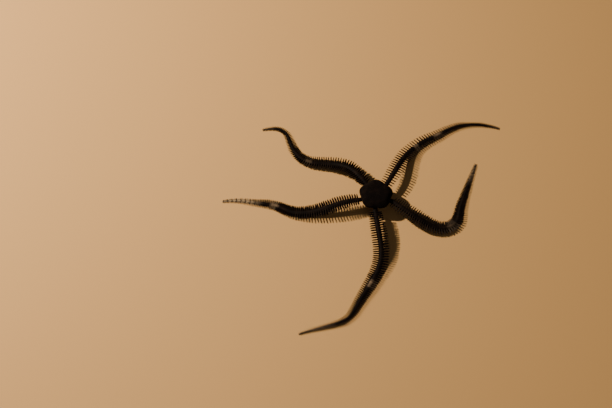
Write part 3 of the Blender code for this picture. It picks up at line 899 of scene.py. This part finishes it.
def spine_lot(arm, joints, row, side, draw, hidden=False):
    """One row of spines along one side of an arm."""
    count = len(joints)
    pitch = np.diff(arm.joints)[joints]
    place_in_joint = ridge_place(arm, SPINE_TURNS[row]) + SPINE_STAGGER[row]
    distance = np.minimum(arm.joints[joints] + place_in_joint * pitch, arm.length - 0.0003)
    share = np.clip(distance / arm.length, 0.0, 1.0)
    slender = arm.width(distance) / ARM_WIDTH
    length = SPINE_LENGTH * curve_through(SPINE_LENGTHS, share) * SPINE_REACH[row]
    length = length * draw.uniform(0.93, 1.05, count)
    length = length * (1.0 + 0.35 * np.minimum(distance, 0.0) / 0.0012)
    thick = SPINE_THICKNESS * SPINE_STOUTNESS[row] * np.clip(0.22 + 0.86 * slender, 0.0, 1.0)
    if hidden:
        length, thick = length * HIDDEN_SPINE[0], thick * HIDDEN_SPINE[1]
    turn = SPINE_TURNS[row] if side > 0.0 else 180.0 - SPINE_TURNS[row]
    root = arm.surface(distance, turn, SPINE_LIFT)
    ahead, left, upright = arm.axes(distance)
    sway = COMB_SWAY * np.sin(1.7 * joints + 2.0 * side + 1.3 * np.sin(0.9 * joints))
    twist = COMB_TWISTS[arm.name] * (1.5 - row)
    lean = np.radians(COMB_LEANS[arm.name] + twist + sway + draw.uniform(-1.3, 1.3, count))[:, None]
    rise = np.radians(SPINE_RISES[row] + draw.uniform(-2.0, 2.0, count))[:, None]
    flat = left * side * np.cos(lean) + ahead * np.sin(lean)
    toward = unit(flat * np.cos(rise) + upright * np.sin(rise))
    lowest = (thick * 0.55 + FLOOR_GAP - root[:, 2]) / length
    toward[:, 2] = np.maximum(toward[:, 2], lowest)
    toward = unit(toward)
    room = (MODEL_HALVES - np.abs(root[:, :2])) / np.maximum(np.abs(toward[:, :2]), 0.001)
    length = np.minimum(length, 0.90 * room.min(axis=1))[:, None]
    across = unit(np.cross(toward, ahead))
    beside = np.cross(toward, across)
    sag = across * draw.uniform(-0.05, 0.04, count)[:, None] * length
    bow = beside * draw.uniform(-0.035, 0.035, count)[:, None] * length
    rings = []
    for place, swell in SPINE_PROFILE:
        middle = root + toward * (length * place) + (sag + bow) * (place * abs(place))
        rings.append((middle, thick * 0.5 * swell))
    end = root + toward * length + sag + bow
    points = ring_points(rings, end, across, beside, SPINE_SIDES, 0.5 * (row % 2))
    points[..., 2] = np.maximum(points[..., 2], FLOOR_GAP)
    tone = draw.uniform(0.8, 1.5, (count, 1))
    pale_from, fade = SPINE_PALE_FROM
    palest = SPINE_PALEST + smooth((share - pale_from) / fade)[:, None]
    along = np.append(np.repeat([place for place, _ in SPINE_PROFILE], SPINE_SIDES), 1.0)
    round_spine = np.append(np.tile(np.arange(SPINE_SIDES) / SPINE_SIDES - 0.5, len(rings)), 0.0)
    return {
        "points": points,
        "faces": ring_faces(len(rings), SPINE_SIDES, pointed=True),
        "roots": arm.unwrap(distance, turn),
        "patch": np.stack((np.clip(along, 0.0, 1.0) - 0.5, round_spine), -1),
        "colour": np.minimum(arm.hides[joints], palest) * 1.25 * tone,
        "edge": 0.25 + 0.75 * smooth((along - 0.45) / 0.5),
    }


spine_finish = hide_finish("spine_horn", (0.050, 0.028, 0.015), 0.34, 0.50, 0.35, 9000.0)
for arm in arms:
    draw = np.random.default_rng(SPINE_SEED + arm.ray)
    free = arm.joints_from(FIRST_COMB)
    hidden = np.setdiff1d(arm.joints_from(FIRST_HIDDEN_COMB), free)
    at_tip = arm.joints[free] >= TIP_START * arm.length
    for part, slot, joints, rows in (
        ("", "arm_skin", free[~at_tip], (0, 1, 2, 3)),
        ("_tip", "arm_tip_skin", free[at_tip], (0, 1, 3)),
    ):
        lots = []
        for side in (1.0, -1.0):
            lots += [spine_lot(arm, joints, row, side, draw) for row in rows]
            if not part:
                lots.append(spine_lot(arm, hidden, 3, side, draw, hidden=True))
        wear(f"arm_{arm.name}{part}_spines", lots, spine_finish, slot)

# The granules of the disc
# The disc's skin is paved all over with tiny rounded limy grains. They are low domes, set in staggered
# rows from the crown over the rim, and between the arms on the underside.

GRANULE_PITCH = 0.00030
GRANULE_ROWS = 0.87  # from row to row, as a share of the pitch
GRANULE_SIDES = 7
GRANULE_PROFILE = ((1.0, -0.5, 0.0), (0.95, 0.22, 0.35), (0.66, 0.76, 0.8))  # reach, rise and paleness
GRANULE_SEED = 3
ARM_CLEARANCE = 0.0019 + SLIT_SPREAD  # from an arm's line to the grains beside it
SHIELD_CLEARANCE = 0.0062  # from the disc's axis, where the mouth's own plates begin


def clear_of_arms(turn, radius, step):
    on_arm = (beside_arm(turn, radius) < ARM_CLEARANCE) & (step > 1.06)
    return ~on_arm & ((step < 1.5) | (radius > SHIELD_CLEARANCE))


def granule_lot(first_step, last_step, draw, colour):
    """Grains over the disc's skin between two steps of its profile, clear of the arms and mouth."""
    middling = FIRST_ARM_ANGLE + RAY_STEP / 4.0  # where the rim is neither swollen nor drawn in
    fine = np.linspace(first_step, last_step, 4000)
    strides = np.linalg.norm(np.diff(disc_outline(middling, fine), axis=0), axis=1)
    passed = np.append(0.0, np.cumsum(strides))
    rows = int(passed[-1] / (GRANULE_PITCH * GRANULE_ROWS))
    row_steps = np.interp(passed[-1] * np.arange(rows + 1) / rows, passed, fine)
    steps, turns = [], []
    for row, radius in enumerate(from_axis(disc_outline(middling, row_steps))):
        count = max(1, round(2.0 * math.pi * float(radius) / GRANULE_PITCH))
        turns.append((np.arange(count) + 0.5 * (row % 2)) * 360.0 / count)
        steps.append(np.full(count, row_steps[row]))
    turn, step = np.concatenate(turns), np.concatenate(steps)
    radius = from_axis(disc_outline(turn, step))
    pitch_turn = np.degrees(GRANULE_PITCH / np.maximum(radius, GRANULE_PITCH))
    turn = turn + draw.normal(0.0, 0.10, len(turn)) * pitch_turn
    step = np.clip(step + draw.normal(0.0, 0.0016, len(step)), 0.0, 1.995)
    wanted = clear_of_arms(turn, radius, step)
    turn, step = turn[wanted], step[wanted]
    place, around, down, outward = disc_skin(turn, step)
    size = GRANULE_PITCH * draw.uniform(0.46, 0.60, len(turn))
    tall = np.minimum(size * draw.uniform(0.60, 0.85, len(turn)), GRANULE_DEPTH)
    reaches, rises, pale = np.array(GRANULE_PROFILE).T
    rings = [(place + outward * (tall * rise)[:, None], size * reach) for reach, rise in zip(reaches, rises)]
    angle = np.tile(2.0 * np.pi * np.arange(GRANULE_SIDES) / GRANULE_SIDES, len(rings))
    half = np.repeat(reaches / 2.0, GRANULE_SIDES)
    return {
        "points": ring_points(rings, place + outward * tall[:, None], down, around, GRANULE_SIDES),
        "faces": ring_faces(len(rings), GRANULE_SIDES, pointed=True),
        "roots": unwrap_disc(turn, step),
        "patch": np.vstack((np.stack((half * np.cos(angle), half * np.sin(angle)), -1), (0.0, 0.0))),
        "colour": colour * draw.uniform(0.65, 1.5, (len(turn), 1)),
        "edge": np.append(np.repeat(pale, GRANULE_SIDES), 1.0),
    }


granule_finish = hide_finish("granular_hide", (0.009, 0.0045, 0.0026), 0.28, 0.56, 0.4, 9000.0)
draw = np.random.default_rng(GRANULE_SEED)
top = granule_lot(0.004, 1.0, draw, BLACK_BROWN * 0.95)
wear("disc_granules_top", [top], granule_finish, "disc_skin")
below = granule_lot(1.02, 2.0, draw, BLACK_BROWN + UNDERSIDE * 0.35)
wear("disc_granules_below", [below], granule_finish, "disc_skin")

# The jaws
# Five limy jaws meet at the mouth on the underside. Each is a grooved wedge with blunt papillae along
# both sides and a cluster of them at its point, all of the same pale brown plate.

JAW_GAP = 0.0003
JAW_TOP = MOUTH_CEILING - JAW_GAP
JAW_TIP_RADIUS = 0.0007
JAW_ROOT_RADIUS = MOUTH_RADIUS - JAW_GAP - 0.0004
JAW_HALF_WIDTH = 0.00040
JAW_WIDTHS = ((0.0, 0.85), (0.3, 1.75), (0.7, 3.2), (1.0, 3.7))  # shares of it, from the tip to the root
JAW_HEIGHT = 0.0016
JAW_HEIGHTS = ((0.0, 0.45), (0.2, 0.82), (0.6, 0.98), (1.0, 0.72))
JAW_ROWS = 12
JAW_SIDES = 22
JAW_SQUARENESS = 0.7
JAW_GROOVE = 0.22  # depth and half width, as shares of the jaw's
PAPILLAE_A_SIDE = 5
SIDE_PAPILLA = (0.00036, 0.00017, 0.00020)  # half length and half widths
TIP_PAPILLA = (0.00030, 0.00012, 0.00013)
MOUTH_BALL = (16, 8)
MOUTH_PATCH = (0.02, 0.02)
JAW_BROWN = np.array((0.150, 0.108, 0.078))
JAW_SEED = 21


def between_arms(ray):
    """Degrees from +X to the line of a jaw."""
    return FIRST_ARM_ANGLE + RAY_STEP * (ray + 0.5)


def jaw_frame(ray):
    out = direction(between_arms(ray))
    return out, np.array((-out[1], out[0], 0.0))


def jaw_body_lot(ray):
    """The wedge itself, with a groove along the middle of its lower side."""
    out, left = jaw_frame(ray)
    share = np.linspace(0.0, 1.0, JAW_ROWS)
    radius = JAW_TIP_RADIUS + share * (JAW_ROOT_RADIUS - JAW_TIP_RADIUS)
    half = JAW_HALF_WIDTH * curve_through(JAW_WIDTHS, share)
    tall = JAW_HEIGHT * curve_through(JAW_HEIGHTS, share)
    turn = np.arange(JAW_SIDES) * 2.0 * math.pi / JAW_SIDES
    across, deep = squared(np.cos(turn), JAW_SQUARENESS), squared(np.sin(turn), JAW_SQUARENESS)
    groove = np.where(deep > 0.0, JAW_GROOVE * np.exp(-((across / JAW_GROOVE) ** 2)), 0.0)
    points = DISC_MIDDLE + out * radius[:, None, None] + left * (half[:, None] * across)[..., None]
    depth = tall[:, None] * (0.5 + 0.5 * deep - groove * 0.5)
    points = (points + np.array((0.0, 0.0, 1.0)) * (JAW_TOP - depth)[..., None]).reshape(1, -1, 3)
    return {
        "points": points,
        "faces": [face[::-1] for face in ring_faces(JAW_ROWS, JAW_SIDES, pointed=False)],
        "roots": unwrap_disc(np.array([between_arms(ray)]), np.array([1.9])),
        "patch": np.stack((np.repeat(share, JAW_SIDES) - 0.5, np.tile(across, JAW_ROWS) / 2.0), -1),
        "patch_size": MOUTH_PATCH,
        "colour": JAW_BROWN[None],
        "edge": 0.3,
    }


def papilla_lot(ray, draw):
    """Blunt lobes along both sides of a jaw, and three rows of smaller ones round its point."""
    out, left = jaw_frame(ray)
    down = np.array((0.0, 0.0, -1.0))
    centres, ways = [], []

    def grow(radius, aside, drop, lean, beside, halves):
        centres.append(DISC_MIDDLE + out * radius + left * aside + (0.0, 0.0, JAW_TOP - JAW_HEIGHT * drop))
        axes = np.stack((lean, beside, np.cross(lean, beside)))
        ways.append(axes * np.array(halves)[:, None])

    for side in (1.0, -1.0):
        for k in range(PAPILLAE_A_SIDE):
            share = (k + 0.5) / PAPILLAE_A_SIDE
            lean = unit(left * side * 0.75 - out * 0.35 + down * 0.55)
            aside = side * JAW_HALF_WIDTH * (1.05 + 1.75 * share)
            grow(JAW_TIP_RADIUS + 0.00035 + share * 0.0021, aside, 0.80, lean, out, SIDE_PAPILLA)
    for row in range(3):
        for k in (-1, 0, 1):
            lean = unit(-out * 0.8 + down * 0.6)
            aside = k * 0.00026 * (1.0 if row else 0.7)
            grow(JAW_TIP_RADIUS + 0.00022 * row, aside, 0.52 + 0.13 * row, lean, left, TIP_PAPILLA)
    count = len(centres)
    spots = unwrap_disc(np.full(count, between_arms(ray)), np.full(count, 1.94))
    spots = spots + np.stack((np.linspace(-0.012, 0.012, count), np.zeros(count)), -1)
    colour = JAW_BROWN * draw.uniform(0.8, 1.25, (count, 1))
    return lobe_lot(globe(*MOUTH_BALL), np.array(centres), np.array(ways), colour, spots, 0.6)


jaw_finish = hide_finish("jaw_plate", (0.300, 0.230, 0.165), 0.5, 0.34, 0.4, 6000.0)
draw = np.random.default_rng(JAW_SEED)
for ray in range(RAY_COUNT):
    lots = [jaw_body_lot(ray), papilla_lot(ray, draw)]
    wear(f"mouth_jaw_{ray + 1}", lots, jaw_finish, "jaw_plate", f"jaw_{ray + 1}")

# The mouth shields
# Outside each jaw lies a rounded oral shield, with a slim adoral shield on each side of it. They are
# limy plates set flush in the underside between the arms.

SHIELD_MIDDLE = 0.0052  # from the disc's axis
SHIELD_HALVES = (0.00085, 0.00075, 0.00026)
ADORAL_HALVES = (0.00062, 0.00030, 0.00022)
ADORAL_SET_IN = 0.00085  # from the oral shield towards the mouth
ADORAL_ASIDE = 0.00105
ADORAL_TURN = 12.0  # on the unwrap


def shield_lot():
    centres, ways, turns = [], [], []
    belly = DISC_EDGE_HEIGHT - DISC_BELLY
    down = np.array((0.0, 0.0, -1.0))
    for ray in range(RAY_COUNT):
        out, left = jaw_frame(ray)
        centres.append(DISC_MIDDLE + out * SHIELD_MIDDLE + (0.0, 0.0, belly + 0.00010))
        ways.append(np.stack((out, left, down)) * np.array(SHIELD_HALVES)[:, None])
        turns.append(between_arms(ray))
        for side in (1.0, -1.0):
            slant = unit(left * side * 0.92 + out * 0.40)
            middle = DISC_MIDDLE + out * (SHIELD_MIDDLE - ADORAL_SET_IN) + left * side * ADORAL_ASIDE
            centres.append(middle + (0.0, 0.0, belly + 0.00008))
            ways.append(np.stack((slant, np.cross(down, slant), down)) * np.array(ADORAL_HALVES)[:, None])
            turns.append(between_arms(ray) + side * ADORAL_TURN)
    count = len(centres)
    spots = unwrap_disc(np.array(turns), np.full(count, 1.8))
    colour = np.tile(JAW_BROWN * 0.85, (count, 1))
    lot = lobe_lot(globe(*MOUTH_BALL), np.array(centres), np.array(ways), colour, spots, 0.3)
    return {**lot, "patch_size": MOUTH_PATCH}


wear("mouth_shields", [shield_lot()], jaw_finish, "jaw_plate")

# The floor
# A plain, pale, warm matt floor, which the animal rests on.

FLOOR_REACH = 3.0

floor_mesh = bpy.data.meshes.new("floor")
floor_corners = [(x * FLOOR_REACH, y * FLOOR_REACH, 0.0) for x, y in ((-1, -1), (1, -1), (1, 1), (-1, 1))]
floor_mesh.from_pydata(floor_corners, [], [(0, 1, 2, 3)])
floor = shown("floor", floor_mesh)
floor_finish = bpy.data.materials.new("pale_floor")
floor_finish.use_nodes = True
floor_shader = floor_finish.node_tree.nodes["Principled BSDF"]
floor_shader.inputs["Base Color"].default_value = (0.42, 0.217, 0.063, 1.0)
floor_shader.inputs["Roughness"].default_value = 0.85
floor_mesh.materials.append(floor_finish)

# The light
# A small lamp, behind on the left, stands as high as the photograph's sun. A broad dim lamp in front and
# a dim pale sky fill the shadows.


def lamp(name, place, size, power, colour):
    """A round lamp that is turned to the origin."""
    light = bpy.data.lights.new(name, "AREA")
    light.shape = "DISK"
    light.size, light.energy, light.color = size, power, colour
    made = shown(name, light)
    made.location = place
    x, y, z = place
    made.rotation_euler = (math.atan2(math.hypot(x, y), z), 0.0, math.atan2(-y, -x) - math.pi / 2.0)


lamp("sun_lamp", (-0.62, 0.27, 0.53), 0.03, 18.4, (1.0, 0.94, 0.84))
lamp("fill_lamp", (0.35, -0.75, 0.80), 0.9, 0.8, (0.96, 0.97, 1.0))
sky = bpy.data.worlds.new("sky")
bpy.context.scene.world = sky
sky.use_nodes = True
sky.node_tree.nodes["Background"].inputs["Color"].default_value = (0.90, 0.93, 1.0, 1.0)
sky.node_tree.nodes["Background"].inputs["Strength"].default_value = 0.085

# The camera
# It looks down at 60 degrees from the front, from as far as makes the photograph's scale at 100 mm.

camera_data = bpy.data.cameras.new("camera")
camera_data.lens, camera_data.sensor_width = 100.0, 36.0
camera_data.clip_start, camera_data.clip_end = 0.05, 20.0
camera = shown("camera", camera_data)
camera.location = (DISC_MIDDLE[0] - 0.0420, DISC_MIDDLE[1] - 0.5152, 0.8893)
camera.rotation_euler = (math.radians(30.0), 0.0, 0.0)
bpy.context.scene.camera = camera
